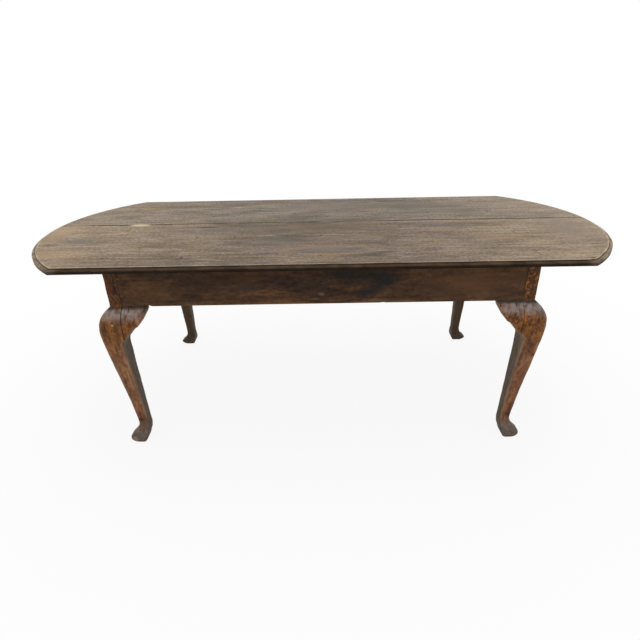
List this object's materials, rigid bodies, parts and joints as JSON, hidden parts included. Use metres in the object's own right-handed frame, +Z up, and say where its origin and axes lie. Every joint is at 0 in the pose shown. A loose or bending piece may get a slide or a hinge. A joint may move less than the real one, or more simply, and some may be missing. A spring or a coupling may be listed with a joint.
{
  "type": "farmhouse dining table",
  "caption": "Country dining table with a bowed-end plank top, deep aprons and square-cut cabriole legs.",
  "frame": {"origin": "on the floor, under the middle of the top", "axes": "+X along the table, +Y from the front to the back, +Z up"},
  "size_m": [2.194, 0.968, 0.76],
  "materials": {
    "top_wood": "weathered, grey-brown, dry",
    "frame_wood": "old dark stain, worn",
    "leg_wood": "old brown stain, worn grey",
    "inner_wood": "unstained, aged",
    "peg_wood": "whittled end grain",
    "nail_iron": "forged, rusted"
  },
  "bodies": {
    "root": {"apron_front": "frame_wood", "apron_left": "frame_wood", "apron_rear": "frame_wood", "apron_right": "frame_wood", "bearer_left": "inner_wood", "bearer_middle": "inner_wood", "bearer_right": "inner_wood", "corner_block_front_left": "inner_wood", "corner_block_front_right": "inner_wood", "corner_block_rear_left": "inner_wood", "corner_block_rear_right": "inner_wood", "ear_front_left_end": "leg_wood", "ear_front_left_long": "leg_wood", "ear_front_right_end": "leg_wood", "ear_front_right_long": "leg_wood", "ear_nails_front_left": "nail_iron", "ear_nails_front_right": "nail_iron", "ear_nails_rear_left": "nail_iron", "ear_nails_rear_right": "nail_iron", "ear_rear_left_end": "leg_wood", "ear_rear_left_long": "leg_wood", "ear_rear_right_end": "leg_wood", "ear_rear_right_long": "leg_wood", "leg_front_left": "leg_wood", "leg_front_right": "leg_wood", "leg_rear_left": "leg_wood", "leg_rear_right": "leg_wood", "tenon_pegs_front_left": "peg_wood", "tenon_pegs_front_right": "peg_wood", "tenon_pegs_rear_left": "peg_wood", "tenon_pegs_rear_right": "peg_wood", "top_board_front": "top_wood", "top_board_rear": "top_wood", "top_loose_tenons": "inner_wood", "top_pegs_bearer_left": "peg_wood", "top_pegs_bearer_middle": "peg_wood", "top_pegs_bearer_right": "peg_wood", "top_pegs_end_left": "peg_wood", "top_pegs_end_right": "peg_wood", "top_pegs_posts": "peg_wood"}
  },
  "joints": []
}
